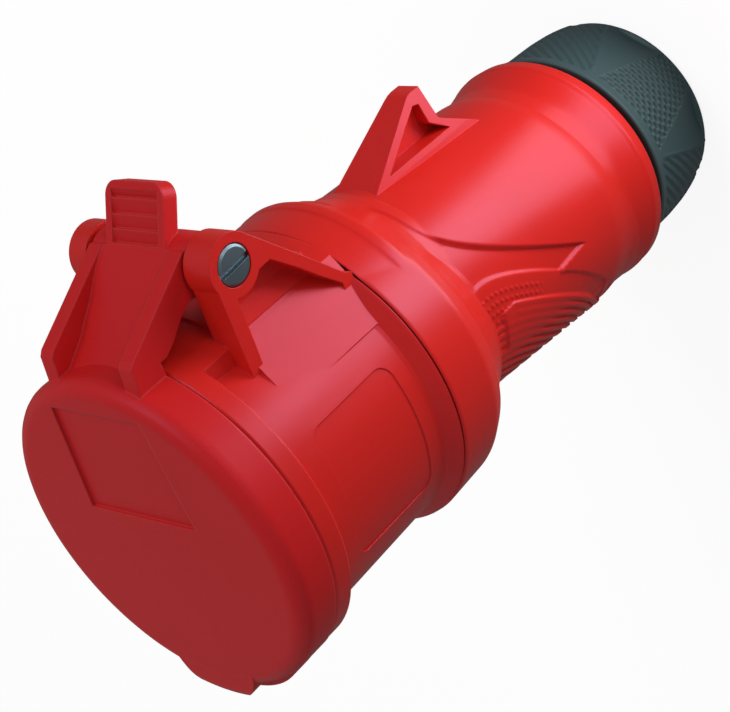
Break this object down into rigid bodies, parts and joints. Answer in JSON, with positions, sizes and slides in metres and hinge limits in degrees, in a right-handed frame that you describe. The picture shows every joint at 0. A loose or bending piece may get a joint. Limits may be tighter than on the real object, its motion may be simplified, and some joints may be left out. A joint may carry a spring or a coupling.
{
  "type": "pin and sleeve connector",
  "caption": "Red in-line pin and sleeve cable connector with a sprung hinged lid, keyway bulge, finned and ridged grip and a grey gland nut.",
  "frame": {"origin": "centre of the gland nut's end face, where the cable enters and on which the part stands", "axes": "+Z along the body's axis from the gland nut to the lid's face, +Y towards the lid's hinge, +X to the right as seen from the front with the hinge on top"},
  "size_m": [0.0722, 0.1017, 0.165],
  "materials": {
    "red_plastic": "satin moulded",
    "lid_plastic": "satin moulded",
    "nut_plastic": "textured",
    "clamp_plastic": "moulded",
    "carrier_plastic": "moulded",
    "cover_plastic": "moulded",
    "black_rubber": "matt",
    "steel": "zinc plated",
    "spring_steel": "bright",
    "brass": "turned"
  },
  "bodies": {
    "housing": {"front_housing": "red_plastic", "keyway_channel": "red_plastic", "rear_housing": "red_plastic", "housing_gasket": "black_rubber", "hinge_screw": "steel", "hinge_insert": "brass", "lid_spring": "spring_steel", "contact_carrier": "carrier_plastic", "carrier_seal": "black_rubber", "terminal_carrier": "cover_plastic", "centre_screw": "steel", "contact_l1": "brass", "contact_l2": "brass", "contact_l3": "brass", "contact_n": "brass", "contact_pe": "brass", "contact_springs": "spring_steel", "carrier_flange": "carrier_plastic", "sleeve_l1": "carrier_plastic", "sleeve_l2": "carrier_plastic", "sleeve_l3": "carrier_plastic", "sleeve_n": "carrier_plastic", "sleeve_pe": "carrier_plastic", "terminal_screws": "steel", "gland_ring": "black_rubber", "gland_seal": "black_rubber", "gland_clamp": "clamp_plastic"},
    "cap": {"lid": "lid_plastic", "lid_gasket": "black_rubber"},
    "pressure_ring": {"thrust_ring": "spring_steel"},
    "nut": {"gland_nut": "nut_plastic"}
  },
  "joints": [
    {"name": "lid_hinge", "type": "hinge", "parent": "housing", "child": "cap", "pos_m": [0, 0.0464, 0.1376], "axis": [-1, 0, 0], "range_deg": [0, 110], "stiffness_Nm_per_rad": 0.03, "springref_deg": -29.79, "deforming": ["lid_spring"]},
    {"name": "ring_slide", "type": "slide", "parent": "housing", "child": "pressure_ring", "axis": [0, 0, -1], "range_m": [0, 0.006]},
    {"name": "gland_turn", "type": "hinge", "parent": "pressure_ring", "child": "nut", "pos_m": [0, 0, 0.01], "axis": [0, 0, -1], "range_deg": [0, 720]}
  ],
  "couplings": [
    {"joint": "ring_slide", "follows": "gland_turn", "m_per_rad": 0.00047746}
  ]
}
